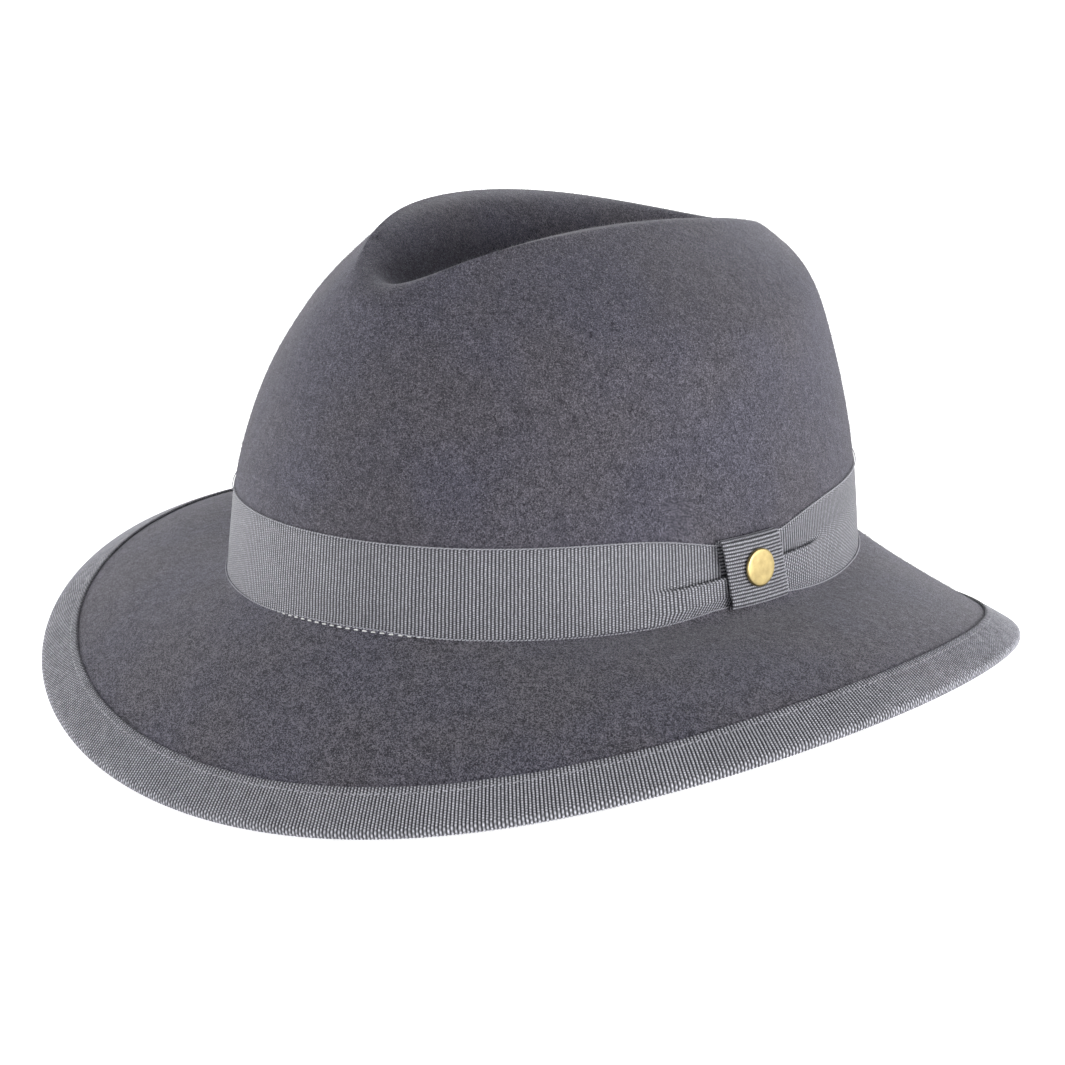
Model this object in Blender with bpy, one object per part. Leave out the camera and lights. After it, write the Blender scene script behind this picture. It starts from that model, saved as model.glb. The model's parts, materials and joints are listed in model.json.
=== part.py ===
"""Centre-dent felt hat: a one-piece wool felt hood with a bound brim, a ribbon band held
by a keeper with a round badge, and a sweatband and lining inside.

Metres, +Z up. The origin is the middle of the head opening, level with the brim break.
The wearer looks along -Y and has +X on the left.
"""

import math

import bmesh
import bpy
import numpy as np
from mathutils import Vector

# Driving dimensions, measured on the outside of the felt. A turn of 0 is the front of the
# hat, and it grows towards the wearer's left.
HEAD_HALF_LENGTH = 0.1021
HEAD_HALF_WIDTH = 0.0873
LOW_RING_HEIGHT = 0.030
RIDGE_HEIGHT = 0.0985
RIDGE_HALF_LENGTH = 0.075
RIDGE_HALF_WIDTH = 0.0352
DENT_FLOOR_HEIGHT = 0.073
BRIM_WIDTH = 0.0578
BRIM_FRONT_EXTRA = 0.0055
BRIM_REAR_TRIM = 0.0020  # taken off the brim's width behind the wearer's left side

FELT = 0.0020
RIBBON = 0.0006
LEATHER = 0.0009
TAPE = 0.0003
CLOTH = 0.0004
GAP = 0.0003
LINING_CLEARANCE = 0.0030

BAND_BOTTOM = 0.0006
BAND_TOP = 0.0255
BINDING_WIDTH = 0.0115
BINDING_STITCH_INSET = 0.0020
THREAD_RADIUS = 0.0002

KEEPER_START = math.radians(77.4)
KEEPER_END = math.radians(90.0)
KEEPER_BOTTOM = 0.0028
KEEPER_TOP = 0.0215
KEEPER_TILT = math.radians(-10.0)
KEEPER_PROUD = 0.0028
BAND_PROUD_AT_KEEPER = 0.0013

BADGE_TURN = math.radians(83.7)
BADGE_HEIGHT = 0.0128
BADGE_RADIUS = 0.0055
BADGE_THICKNESS = 0.0011
BADGE_EDGE = 0.0003
STUD_RADIUS = 0.0010
WASHER_RADIUS = 0.0030
WASHER_THICKNESS = 0.0003

SWEATBAND_TOP = 0.034
SWEATBAND_BOTTOM = 0.0005
REED_RADIUS = 0.0005
REED_HEIGHT = -0.0009
REED_TAPE_TOP = 0.0055

STATIONS = 60  # points round the hat


def full_turn(stations=STATIONS):
    return np.linspace(0.0, 2 * math.pi, stations, endpoint=False)


def ring(turn, centre_y, half_length, half_width, height, egg=0.0):
    """One level of the crown: an oval, narrowed at the front by egg."""
    x = half_width * np.sin(turn) * (1 - egg * np.cos(turn))
    y = centre_y - half_length * np.cos(turn)
    return np.stack([x, y, height + 0 * x], axis=-1)


def bump(turn, middle, spread):
    away = np.arctan2(np.sin(turn - middle), np.cos(turn - middle))
    return np.exp(-((away / spread) ** 2))


def crown_rings(turn):
    """The levels that the crown passes through, from the brim break to the dent's floor."""
    notch = 0.0081 * bump(turn, 0, math.radians(37))
    ridge = RIDGE_HEIGHT + 0.0054 * np.cos(turn) - 0.0046 * np.cos(2 * turn) - notch
    long, wide = RIDGE_HALF_LENGTH, RIDGE_HALF_WIDTH
    rings = np.array([
        ring(turn, 0, HEAD_HALF_LENGTH, HEAD_HALF_WIDTH, 0),
        ring(turn, 0.0008, 0.0997, 0.0841, LOW_RING_HEIGHT),
        ring(turn, 0.0034, 0.0934, 0.0765, 0.057),
        ring(turn, 0.0055, 0.0845, 0.0677, 0.079),
        ring(turn, 0.0064, long + 0.0070, wide + 0.0076, ridge - 0.0033, 0.08),
        ring(turn, 0.0064, long, wide, ridge, 0.08),
        ring(turn, 0.0064, long - 0.0095, wide - 0.0095, ridge - 0.0049, 0.08),
        ring(turn, 0.0070, 0.0520, 0.0150, DENT_FLOOR_HEIGHT + 0.0050, 0.1),
        ring(turn, 0.0080, 0.0420, 0.0020, DENT_FLOOR_HEIGHT),
    ])
    # The crown is pinched at both sides of its front, a little more on the wearer's right.
    left_pinch = 0.0033 * bump(turn, math.radians(42), math.radians(18))
    right_pinch = 0.0043 * bump(turn, math.radians(-45), math.radians(19))
    rings[3:5, :, 0] += right_pinch - left_pinch
    return rings


def crown(turn, step):
    """The felt's outside at this step along the profile, as a Catmull-Rom curve: 0 is the brim
    break, 5 the top of the ridge and 8 the floor of the dent."""
    rings = crown_rings(turn)
    ends = 2 * rings[0] - rings[1], 2 * rings[-1] - rings[-2]
    rings = np.concatenate([ends[:1], rings, ends[1:]])
    i = min(int(step), len(rings) - 4)
    p0, p1, p2, p3 = rings[i : i + 4]
    f = step - i
    bend = (2 * p0 - 5 * p1 + 4 * p2 - p3) * f**2 + (3 * p1 - p0 - 3 * p2 + p3) * f**3
    return p1 + ((p2 - p0) * f + bend) / 2


def outward(turn):
    """The level direction that leaves the head oval squarely."""
    x = np.sin(turn) / HEAD_HALF_WIDTH
    y = -np.cos(turn) / HEAD_HALF_LENGTH
    size = np.hypot(x, y)
    return np.stack([x / size, y / size, 0 * x], axis=-1)


def brim(turn, share):
    """The felt's top at this share of the brim's width: it leaves the crown at one slope and
    bends steadily to another, both of which change round the hat."""
    width = BRIM_WIDTH + BRIM_FRONT_EXTRA * np.cos(turn)
    width -= BRIM_REAR_TRIM * bump(turn, math.radians(112), math.radians(22))
    root_slope = 20 - 9 * np.cos(turn) + 24 * np.cos(2 * turn) + 3 * np.sin(turn)
    edge_slope = 35 + 10.5 * np.cos(turn) + 6 * np.cos(2 * turn) + 4 * np.sin(turn)
    half_bend = np.radians(edge_slope - root_slope) * share / 2
    slope = np.radians(root_slope) + half_bend
    reach = share * width * np.sinc(half_bend / math.pi)
    root = ring(turn, 0, HEAD_HALF_LENGTH, HEAD_HALF_WIDTH, 0)
    drop = np.stack([0 * slope, 0 * slope, reach * np.sin(slope)], axis=-1)
    return root + outward(turn) * (reach * np.cos(slope))[:, None] - drop


def wall(turn, height, proud):
    """A point beside the low part of the crown, this far outside the felt."""
    level = crown(turn, max(height, 0) / LOW_RING_HEIGHT)
    level[:, 2] = height
    return level + outward(turn) * np.broadcast_to(proud, turn.shape)[:, None]


def lifted(rows, distance, around=True):
    """The same grid moved along its own normals."""
    along = np.gradient(rows, axis=0)
    if around:
        across = np.roll(rows, -1, axis=1) - np.roll(rows, 1, axis=1)
    else:
        across = np.gradient(rows, axis=1)
    normal = np.cross(along, across)
    normal /= np.linalg.norm(normal, axis=2, keepdims=True)
    return rows + distance * normal


def material(name, colour, roughness, metallic=0.0):
    made = bpy.data.materials.new(name)
    made.use_nodes = True
    made.diffuse_color = (*colour, 1)
    shader = made.node_tree.nodes["Principled BSDF"]
    shader.inputs["Base Color"].default_value = (*colour, 1)
    shader.inputs["Roughness"].default_value = roughness
    shader.inputs["Metallic"].default_value = metallic
    return made


def place(name, data, finish):
    made = bpy.data.objects.new(name, data)
    bpy.context.collection.objects.link(made)
    data.materials.append(finish)
    made.parent = HAT
    return made


def sheet(name, rows, finish, thickness, side, around=True, loop=False, filled=False):
    """A surface through rows of points, thickened by Solidify to one side of it (1 is along
    its normals, -1 against them, 0 both). around joins each row's ends, loop joins the last
    row to the first, and filled closes the first row with a strip across it."""
    mesh = bmesh.new()
    grid = [[mesh.verts.new(point) for point in row] for row in rows]
    count = len(grid[0])
    for low, high in zip(grid, grid[1:] + grid[:1] if loop else grid[1:]):
        for i in range(count if around else count - 1):
            j = (i + 1) % count
            mesh.faces.new((low[i], high[i], high[j], low[j]))
    if filled:
        first = grid[0]
        for i in range(count // 2):
            corners = (first[i], first[i + 1], first[count - i - 1], first[-i])
            mesh.faces.new(list(dict.fromkeys(corners)))
    data = bpy.data.meshes.new(name)
    mesh.to_mesh(data)
    mesh.free()
    made = place(name, data, finish)
    solidify = made.modifiers.new("thickness", "SOLIDIFY")
    solidify.thickness = thickness
    solidify.offset = side
    return made


def thread(name, points, finish, radius=THREAD_RADIUS, sides=0):
    """A round cord through a closed ring of points."""
    data = bpy.data.curves.new(name, "CURVE")
    data.dimensions = "3D"
    data.bevel_depth = radius
    data.bevel_resolution = sides
    spline = data.splines.new("POLY")
    spline.points.add(len(points) - 1)
    for made, point in zip(spline.points, points):
        made.co = (*point, 1)
    spline.use_cyclic_u = True
    return place(name, data, finish)


def felt_rows(turn):
    """The hood's outside from the dent's floor over the ridge and down to the brim's edge."""
    crown_steps = (8, 7.5, 7, 6.5, 6, 5.5, 5, 4.5, 4, 3.5, 3, 2.5, 2, 1.4, 0.7, 0.012)
    brim_shares = (0.006, 0.15, 0.32, 0.49, 0.66, 0.83, 1)
    rows = [crown(turn, step) for step in crown_steps]
    return np.array(rows + [brim(turn, share) for share in brim_shares])


def felt_hood(finish):
    rows = felt_rows(full_turn())
    sheet("felt_hood", rows, finish, FELT, -1, filled=True)


def brim_rows(turn, first_share):
    """The outer part of the brim's top, on the felt."""
    shares = np.linspace(first_share, 1, 4)
    return np.array([brim(turn, share) for share in shares])


def brim_binding(finish):
    """A ribbon folded over the felt's edge: top leg, half-round fold and under leg."""
    turn = full_turn()
    first = 1 - BINDING_WIDTH / BRIM_WIDTH
    rows = brim_rows(turn, first)
    top = lifted(rows, GAP)
    under = lifted(rows, -FELT - GAP)[::-1]
    middle = (top[-1] + under[0]) / 2
    up = top[-1] - middle
    out = rows[-1] - rows[-2]
    out *= np.linalg.norm(up, axis=1, keepdims=True) / np.linalg.norm(out, axis=1, keepdims=True)
    fold = []
    for angle in np.radians((30, 60, 90, 120, 150)):
        fold.append(middle + up * math.cos(angle) + 1.3 * out * math.sin(angle))
    sheet("brim_binding", np.concatenate([top, fold, under]), finish, RIBBON, 1)


def binding_stitching(finish):
    turn = full_turn()
    rows = brim_rows(turn, 1 - (BINDING_WIDTH - BINDING_STITCH_INSET) / BRIM_WIDTH)
    clear = 2 * GAP + RIBBON + THREAD_RADIUS
    thread("binding_stitching_top", lifted(rows, clear)[0], finish)
    thread("binding_stitching_under", lifted(rows, -FELT - clear)[0], finish)


def band_turn():
    """Stations along the band, from its one end under the keeper round to its other end."""
    middle = (KEEPER_START + KEEPER_END) / 2
    half_gap = math.radians(0.2)
    near = np.radians((3, 6.3, 9, 13, 18, 24))
    long = np.linspace(math.radians(30), 2 * math.pi - math.radians(30), STATIONS - 12)
    ends = np.concatenate([[half_gap], near, long, 2 * math.pi - near[::-1]])
    return middle + np.append(ends, 2 * math.pi - half_gap)


def hatband(finish):
    """One ribbon round the crown, drawn in and lifted where the keeper holds its two ends."""
    turn = band_turn()
    held = np.minimum(1, 1.35 * bump(turn, (KEEPER_START + KEEPER_END) / 2, math.radians(14)))
    proud = GAP + (BAND_PROUD_AT_KEEPER - GAP) * held
    bottom = BAND_BOTTOM + 0.0024 * held
    top = BAND_TOP - 0.0048 * held
    rows = []
    for share in (1, 0.75, 0.5, 0.25, 0):
        heights = bottom + (top - bottom) * share
        row = [wall(turn[i : i + 1], heights[i], proud[i])[0] for i in range(len(turn))]
        rows.append(row)
    sheet("hatband", rows, finish, RIBBON, 1, around=False)


def keeper_point(turn, height, proud):
    lean = (height - BADGE_HEIGHT) * math.tan(KEEPER_TILT) / HEAD_HALF_LENGTH
    return wall(turn + lean, height, proud)


def hatband_keeper(finish):
    """A short ribbon wrapped round the band's two ends. It is a flat loop, open at its sides,
    with a hole for the badge's stud in its front."""
    turn = np.linspace(KEEPER_START, KEEPER_END, 7)
    heights = np.linspace(KEEPER_TOP, KEEPER_BOTTOM, 6)
    back = GAP + RIBBON / 2
    front = KEEPER_PROUD + RIBBON / 2
    rows = [keeper_point(turn, height, front) for height in heights]
    rows.append(keeper_point(turn, KEEPER_BOTTOM - 0.0008, (front + back) / 2))
    rows += [keeper_point(turn, height, back) for height in heights[::-1]]
    rows.append(keeper_point(turn, KEEPER_TOP + 0.0008, (front + back) / 2))
    keeper = sheet("hatband_keeper", rows, finish, RIBBON, 0, around=False, loop=True)
    cutter = disc("stud_hole_cutter", STUD_RADIUS + GAP, -0.0004, 0.0040, finish)
    cutter.hide_render = True
    cutter.display_type = "WIRE"
    cut = keeper.modifiers.new("stud hole", "BOOLEAN")
    cut.operation = "DIFFERENCE"
    cut.object = cutter


def badge_frame():
    """The badge's place on the felt and its axis, which leaves the crown squarely."""
    turn = np.array([BADGE_TURN])
    origin = wall(turn, BADGE_HEIGHT, 0)[0]
    above = wall(turn, BADGE_HEIGHT + 0.005, 0)[0]
    below = wall(turn, BADGE_HEIGHT - 0.005, 0)[0]
    ahead = wall(turn + 0.05, BADGE_HEIGHT, 0)[0]
    behind = wall(turn - 0.05, BADGE_HEIGHT, 0)[0]
    axis = np.cross(ahead - behind, above - below)
    return origin, axis / np.linalg.norm(axis)


def disc(name, radius, back, front, finish, bore=0.0):
    """A round piece on the badge's axis, between two distances from the felt."""
    mesh = bmesh.new()
    outline = bmesh.ops.create_circle(mesh, segments=24, radius=radius)["verts"]
    if bore:
        outline += bmesh.ops.create_circle(mesh, segments=24, radius=bore)["verts"]
        bmesh.ops.bridge_loops(mesh, edges=mesh.edges)
    else:
        mesh.faces.new(outline)
    body = bmesh.ops.extrude_face_region(mesh, geom=mesh.faces[:])["geom"]
    lifted_points = [item for item in body if isinstance(item, bmesh.types.BMVert)]
    bmesh.ops.translate(mesh, vec=(0, 0, front - back), verts=lifted_points)
    bmesh.ops.recalc_face_normals(mesh, faces=mesh.faces)
    data = bpy.data.meshes.new(name)
    mesh.to_mesh(data)
    mesh.free()
    made = place(name, data, finish)
    origin, axis = badge_frame()
    made.location = origin + axis * back
    made.rotation_mode = "QUATERNION"
    made.rotation_quaternion = Vector(axis).to_track_quat("Z", "Y")
    return made


def badge(finish):
    """A plain rimmed disc whose stud goes through the keeper's front into a washer."""
    back = KEEPER_PROUD + RIBBON + GAP
    whole = disc("badge_disc", BADGE_RADIUS, back, back + BADGE_THICKNESS, finish)
    bevel = whole.modifiers.new("edge", "BEVEL")
    bevel.width = BADGE_EDGE
    bevel.segments = 2
    on_band = BAND_PROUD_AT_KEEPER + RIBBON + GAP
    stud = disc("stud_shape", STUD_RADIUS, on_band, back + BADGE_THICKNESS / 2, finish)
    stud.hide_render = True
    join = whole.modifiers.new("stud", "BOOLEAN")
    join.operation = "UNION"
    join.object = stud
    bore = STUD_RADIUS + GAP
    disc("badge_washer", WASHER_RADIUS, on_band, on_band + WASHER_THICKNESS, finish, bore)


def sweatband(finish):
    """The leather strip against the head. Its two ends meet at the back with a fine gap."""
    half_gap = math.radians(0.15)
    turn = math.pi + np.linspace(half_gap, 2 * math.pi - half_gap, STATIONS + 1)
    inset = -(FELT + 2 * GAP + TAPE)
    heights = np.linspace(SWEATBAND_TOP, SWEATBAND_BOTTOM, 5)
    rows = [wall(turn, height, inset) for height in heights]
    sheet("sweatband", rows, finish, LEATHER, -1, around=False)


def reed_inset():
    return -(FELT + 2 * GAP + TAPE + LEATHER / 2)


def sweatband_reed(finish):
    ring_points = wall(full_turn(), REED_HEIGHT, reed_inset())
    thread("sweatband_reed", ring_points, finish, REED_RADIUS, sides=1)


def reed_tape(finish):
    """A thin tape folded round the reed and up both faces of the sweatband's lower edge."""
    turn = full_turn()
    outer = -(FELT + GAP + TAPE / 2)
    middle = reed_inset()
    inner = 2 * middle - outer
    fold = middle - outer
    rows = [wall(turn, REED_TAPE_TOP, outer), wall(turn, SWEATBAND_BOTTOM, outer)]
    for angle in np.radians((0, 45, 90, 135, 180)):
        drop = REED_RADIUS + GAP + TAPE / 2
        row = wall(turn, REED_HEIGHT - drop * math.sin(angle), middle - fold * math.cos(angle))
        rows.append(row)
    rows += [wall(turn, SWEATBAND_BOTTOM, inner), wall(turn, REED_TAPE_TOP, inner)]
    sheet("reed_tape", rows, finish, TAPE, 0)


def sweatband_stitching(finish):
    """The thread that sews the sweatband in, where it shows in the corner under the band."""
    turn = full_turn()
    rows = np.array([brim(turn, share) for share in (0.02, 0.03, 0.04)])
    thread("sweatband_stitching", lifted(rows, GAP + THREAD_RADIUS)[1], finish)


def lining(finish):
    """A side strip from behind the sweatband to the shoulder, and a tip under the dent."""
    turn = full_turn()
    tip_steps = (8, 7.5, 7, 6.5, 6, 5.5, 5, 4.5, 4, 3.5, 3.18)
    side_steps = (3, 2.5, 2, 1.4, 1.19)
    rows = np.array([crown(turn, step) for step in tip_steps + side_steps])
    rows = lifted(rows, -(FELT + LINING_CLEARANCE))
    sheet("lining_tip", rows[: len(tip_steps)], finish, CLOTH, -1, filled=True)
    sheet("lining_side", rows[len(tip_steps) :], finish, CLOTH, -1)


def patch(name, middle, height, half_width, half_height, inset, finish):
    """A small flat piece on the sweatband's inner face, with an outline given by the halves."""
    turn = middle + half_width / HEAD_HALF_LENGTH * np.linspace(-1, 1, 5)
    rows = []
    for share in (1, 0.33, -0.33, -1):
        heights = height + share * half_height
        row = [wall(turn[i : i + 1], heights[i], inset)[0] for i in range(len(turn))]
        rows.append(row)
    sheet(name, rows, finish, RIBBON, -1, around=False)


def inside_trim(ribbon, label):
    """The bow over the sweatband's back seam and a blank label beside it."""
    inset = -(FELT + 3 * GAP + TAPE + LEATHER)
    bow_outline = np.array([0.0036, 0.0026, 0.0012, 0.0026, 0.0036])
    patch("sweatband_bow", math.pi, 0.0115, 0.010, bow_outline, inset, ribbon)
    patch("blank_label", math.radians(150), 0.018, 0.012, np.full(5, 0.008), inset, label)


def build():
    felt = material("wool felt", (0.085, 0.084, 0.102), 0.95)
    grosgrain = material("grosgrain ribbon", (0.205, 0.205, 0.245), 0.75)
    grey_thread = material("grey thread", (0.25, 0.25, 0.30), 0.7)
    white_thread = material("white thread", (0.65, 0.65, 0.66), 0.7)
    brass = material("satin brass", (0.75, 0.52, 0.20), 0.35, 1.0)
    leather = material("leather", (0.035, 0.030, 0.030), 0.55)
    reed = material("reed", (0.60, 0.58, 0.52), 0.5)
    tape = material("tape", (0.05, 0.05, 0.06), 0.8)
    satin = material("lining satin", (0.10, 0.10, 0.12), 0.4)
    label = material("label cloth", (0.70, 0.70, 0.68), 0.8)
    felt_hood(felt)
    brim_binding(grosgrain)
    binding_stitching(grey_thread)
    hatband(grosgrain)
    hatband_keeper(grosgrain)
    badge(brass)
    sweatband(leather)
    sweatband_reed(reed)
    reed_tape(tape)
    sweatband_stitching(white_thread)
    lining(satin)
    inside_trim(grosgrain, label)


for old in list(bpy.data.objects):
    bpy.data.objects.remove(old)
HAT = bpy.data.objects.new("hat", None)
bpy.context.collection.objects.link(HAT)
build()
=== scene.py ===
"""The looks of a centre-dent felt hat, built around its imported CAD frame.

Shapes are worked out in design millimetres, and MM turns them into the frame's metres. A turn
of 0 is the front of the hat (-Y), and it grows towards the wearer's left (+X).
"""

import json
import math

import bmesh
import bpy
import numpy as np
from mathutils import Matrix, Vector

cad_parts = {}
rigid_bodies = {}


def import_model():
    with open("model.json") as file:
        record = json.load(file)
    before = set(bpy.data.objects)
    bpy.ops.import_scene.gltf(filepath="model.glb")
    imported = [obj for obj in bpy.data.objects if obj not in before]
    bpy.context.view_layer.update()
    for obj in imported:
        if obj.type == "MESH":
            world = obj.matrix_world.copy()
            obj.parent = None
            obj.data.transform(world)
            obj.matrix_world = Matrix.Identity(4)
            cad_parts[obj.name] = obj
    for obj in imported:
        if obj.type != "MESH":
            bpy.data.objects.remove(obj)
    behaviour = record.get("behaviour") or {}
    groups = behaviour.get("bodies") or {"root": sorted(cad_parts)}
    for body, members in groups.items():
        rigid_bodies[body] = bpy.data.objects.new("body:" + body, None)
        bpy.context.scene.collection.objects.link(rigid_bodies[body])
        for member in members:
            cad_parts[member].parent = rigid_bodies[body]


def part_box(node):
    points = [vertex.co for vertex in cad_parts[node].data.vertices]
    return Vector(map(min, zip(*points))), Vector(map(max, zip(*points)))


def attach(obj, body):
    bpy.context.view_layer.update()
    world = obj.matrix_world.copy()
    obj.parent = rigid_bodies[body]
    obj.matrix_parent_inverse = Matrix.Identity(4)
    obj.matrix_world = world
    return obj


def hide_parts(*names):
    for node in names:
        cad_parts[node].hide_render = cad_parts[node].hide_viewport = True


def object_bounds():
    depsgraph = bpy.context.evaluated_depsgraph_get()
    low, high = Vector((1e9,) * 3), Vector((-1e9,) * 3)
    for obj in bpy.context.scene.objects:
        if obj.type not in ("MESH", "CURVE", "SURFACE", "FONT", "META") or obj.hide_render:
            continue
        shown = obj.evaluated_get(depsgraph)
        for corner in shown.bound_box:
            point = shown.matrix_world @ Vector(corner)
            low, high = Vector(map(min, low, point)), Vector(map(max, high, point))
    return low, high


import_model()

CAD_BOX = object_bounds()


def node_box(node):
    low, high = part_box(node)
    return np.array(low), np.array(high)


BAND_LOW, BAND_HIGH = node_box("hatband")
BADGE_LOW, BADGE_HIGH = node_box("badge_disc")
BAND_DESIGN_LENGTH = 205.6  # of the hatband's box along Y, in design millimetres
MM = float(BAND_HIGH[1] - BAND_LOW[1]) / BAND_DESIGN_LENGTH

# Hood, as in the CAD frame.
HEAD_HALF_LENGTH = 102.1
HEAD_HALF_WIDTH = 87.3
LOW_RING_HEIGHT = 30.0
RIDGE_HEIGHT = 98.5
RIDGE_HALF_LENGTH = 75.0
RIDGE_HALF_WIDTH = 35.2
DENT_FLOOR_HEIGHT = 73.0
BRIM_WIDTH = 57.8
BRIM_FRONT_EXTRA = 5.5
BRIM_REAR_TRIM = 2.0
FELT = 2.0

# Ribbons and threads.
RIBBON = 0.35
RIB_DEPTH = 0.38
RIB_PITCH = 1.055
RIB_PROFILE = np.array([0.0, 0.8, 1.0, 0.8])  # from one valley to the next
BEAD = 0.62  # from one cross thread to the next along a cord
RIBBON_GAP = 0.25
BAND_TOP = 25.5
BINDING_WIDTH = 11.5
STITCH_INSET = 2.0
BAND_WIDTH = 25.3
FOLD_HEIGHT_BEFORE = 12.2  # the pleat's edge at each side of the keeper
FOLD_HEIGHT_AFTER = 14.4
# The band and the binding are one ribbon: the band's copy is darkened as painted shade and the
# binding's copy is lightened as painted light.
BAND_TONE_WITH_PAINTED_SHADE = 0.93  # matched to the photograph under this studio's light, as is the next one
BINDING_TONE_WITH_PAINTED_LIGHT = 1.07

# The keeper and its badge, on the wearer's left.
KEEPER_START = math.radians(77.4)
KEEPER_END = math.radians(90.0)
KEEPER_MIDDLE = (KEEPER_START + KEEPER_END) / 2
KEEPER_BOTTOM = 2.8
KEEPER_TOP = 21.5
KEEPER_PROUD = 2.8
KEEPER_LEAN = math.tan(math.radians(-10))
KEEPER_RIBS = 19
BAND_PROUD_AT_KEEPER = 1.3
BADGE_TURN = math.radians(83.7)
BADGE_HEIGHT = 12.8
BADGE_RADIUS = float(BADGE_HIGH[2] - BADGE_LOW[2]) / MM / 2

# Inside. Each inset is the distance in from the felt's outside.
SWEATBAND_TOP = 34.0
SWEATBAND_INSET = 2.9
LEATHER = 0.9
REED_HEIGHT = -0.9
REED_RADIUS = 0.5
LINING_INSET = 5.0
TRIM_INSET = 4.1
BOW_HEIGHT = 11.5
LABEL_TURN = math.radians(150)
LABEL_HEIGHT = 18

FIBRES = 48000
FIBRE_RADIUS = 0.05
FIBRE_SEED = 7

# Studio.
TENT_RADIUS = 2600.0
TENT_HEIGHT = 1400.0
WALL_GLOW = 0.08
CEILING_GLOW = 0.04
SOFTBOX_DISTANCE = 1.3  # in metres, as are the next two
SOFTBOX_WIDTH = 1.0
SOFTBOX_DEPTH = 0.4
CAMERA_AZIMUTH = 41.4
CAMERA_ELEVATION = 15.11
CAMERA_DISTANCE = 1162.5
CAMERA_LENS = 131.17


# Shape functions. Every point is a design-millimetre (x, y, z).


def full_turn(count):
    return np.linspace(0, 2 * math.pi, count, endpoint=False)


def bump(turn, middle, spread):
    away = np.arctan2(np.sin(turn - middle), np.cos(turn - middle))
    return np.exp(-((away / spread) ** 2))


def ring(turn, centre_y, half_length, half_width, height, egg=0.0):
    x = half_width * np.sin(turn) * (1 - egg * np.cos(turn))
    y = centre_y - half_length * np.cos(turn)
    return np.stack([x, y, height + 0 * x], axis=-1)


def crown_rings(turn):
    """The levels that the crown passes through, from the brim break to the dent's floor."""
    notch = 8.1 * bump(turn, 0, math.radians(37))
    ridge = RIDGE_HEIGHT + 5.4 * np.cos(turn) - 4.6 * np.cos(2 * turn) - notch
    long, wide = RIDGE_HALF_LENGTH, RIDGE_HALF_WIDTH
    rings = np.array([
        ring(turn, 0, HEAD_HALF_LENGTH, HEAD_HALF_WIDTH, 0),
        ring(turn, 0.8, 99.7, 84.1, LOW_RING_HEIGHT),
        ring(turn, 3.4, 93.4, 76.5, 57),
        ring(turn, 5.5, 84.5, 67.7, 79),
        ring(turn, 6.4, long + 7, wide + 7.6, ridge - 3.3, 0.08),
        ring(turn, 6.4, long, wide, ridge, 0.08),
        ring(turn, 6.4, long - 9.5, wide - 9.5, ridge - 4.9, 0.08),
        ring(turn, 7, 52, 15, DENT_FLOOR_HEIGHT + 5, 0.1),
        ring(turn, 8, 42, 2, DENT_FLOOR_HEIGHT),
    ])
    left_pinch = 3.3 * bump(turn, math.radians(42), math.radians(18))
    right_pinch = 4.3 * bump(turn, math.radians(-45), math.radians(19))
    rings[3:5, ..., 0] += right_pinch - left_pinch
    return rings


def blend_rings(p0, p1, p2, p3, f):
    """A Catmull-Rom curve from p1 to p2."""
    bend = (2 * p0 - 5 * p1 + 4 * p2 - p3) * f**2 + (3 * p1 - p0 - 3 * p2 + p3) * f**3
    return p1 + ((p2 - p0) * f + bend) / 2


def crown(turn, steps):
    """Rows of the felt's outside at these steps along the profile."""
    rings = crown_rings(turn)
    rings = np.concatenate([[2 * rings[0] - rings[1]], rings, [2 * rings[-1] - rings[-2]]])
    i = np.minimum(steps.astype(int), len(rings) - 4)
    f = (steps - i)[:, None, None]
    return blend_rings(rings[i], rings[i + 1], rings[i + 2], rings[i + 3], f)


def outward(turn):
    x = np.sin(turn) / HEAD_HALF_WIDTH
    y = -np.cos(turn) / HEAD_HALF_LENGTH
    size = np.hypot(x, y)
    return np.stack([x / size, y / size, 0 * x], axis=-1)


def brim(turn, share):
    """The felt's top at this share of the brim's width."""
    width = BRIM_WIDTH + BRIM_FRONT_EXTRA * np.cos(turn)
    width -= BRIM_REAR_TRIM * bump(turn, math.radians(112), math.radians(22))
    root_slope = 20 - 9 * np.cos(turn) + 24 * np.cos(2 * turn) + 3 * np.sin(turn)
    edge_slope = 35 + 10.5 * np.cos(turn) + 6 * np.cos(2 * turn) + 4 * np.sin(turn)
    half_bend = np.radians(edge_slope - root_slope) * share / 2
    slope = np.radians(root_slope) + half_bend
    reach = share * width * np.sinc(half_bend / math.pi)
    root = ring(turn, 0, HEAD_HALF_LENGTH, HEAD_HALF_WIDTH, 0)
    points = root + outward(turn) * (reach * np.cos(slope))[..., None]
    points[..., 2] -= reach * np.sin(slope)
    return points


def brim_rows(turn, shares):
    return brim(turn[None, :] + 0 * shares[:, None], shares[:, None] + 0 * turn[None, :])


def wall(turn, height, proud):
    """Points beside the low part of the crown, this far outside the felt."""
    turn, height, proud = np.broadcast_arrays(turn, height, proud)
    rings = crown_rings(turn)
    step = (np.maximum(height, 0) / LOW_RING_HEIGHT)[..., None]
    below = 2 * rings[0] - rings[1]
    level = blend_rings(below, rings[0], rings[1], rings[2], step)
    level[..., 2] = height
    return level + outward(turn) * proud[..., None]


def normals_of(rows, around=True):
    along = np.gradient(rows, axis=0)
    if around:
        across = np.roll(rows, -1, axis=1) - np.roll(rows, 1, axis=1)
    else:
        across = np.gradient(rows, axis=1)
    normal = np.cross(along, across)
    return normal / np.linalg.norm(normal, axis=2, keepdims=True)


def lifted(rows, distance, around=True):
    return rows + np.asarray(distance)[..., None] * normals_of(rows, around)


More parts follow.
